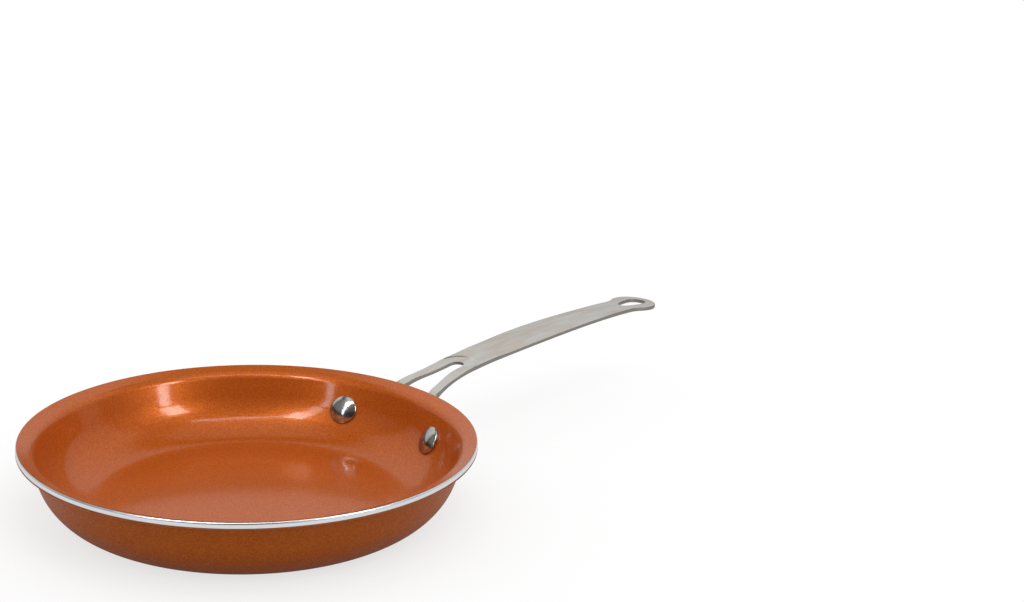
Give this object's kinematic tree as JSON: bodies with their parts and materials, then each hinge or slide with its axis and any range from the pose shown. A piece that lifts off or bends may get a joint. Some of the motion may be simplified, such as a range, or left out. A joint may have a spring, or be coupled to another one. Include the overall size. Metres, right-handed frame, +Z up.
{
  "type": "frying pan",
  "caption": "Shallow round frying pan with a flared flat-topped lip, a copper-coloured coating, a perforated steel base disc and a long forked steel handle with a hanging hole.",
  "frame": {"origin": "centre of the base, on the surface that the pan stands on", "axes": "+X along the handle towards its tip, +Z up out of the bowl, +Y completing a right-handed frame"},
  "size_m": [0.3812, 0.2032, 0.0462],
  "materials": {
    "bare_aluminium": "machined, with fine turning lines",
    "ceramic_coating": "glossy, with fine metallic fleck",
    "copper_paint": "semi-gloss metallic paint",
    "base_steel": "circular brushed",
    "handle_steel": "satin polished",
    "rivet_steel": "polished"
  },
  "bodies": {
    "root": {"pan_body": "bare_aluminium", "inner_coating": "ceramic_coating", "outer_coating": "copper_paint", "induction_disc": "base_steel", "handle": "handle_steel", "rivet_left": "rivet_steel", "rivet_right": "rivet_steel"}
  },
  "joints": []
}
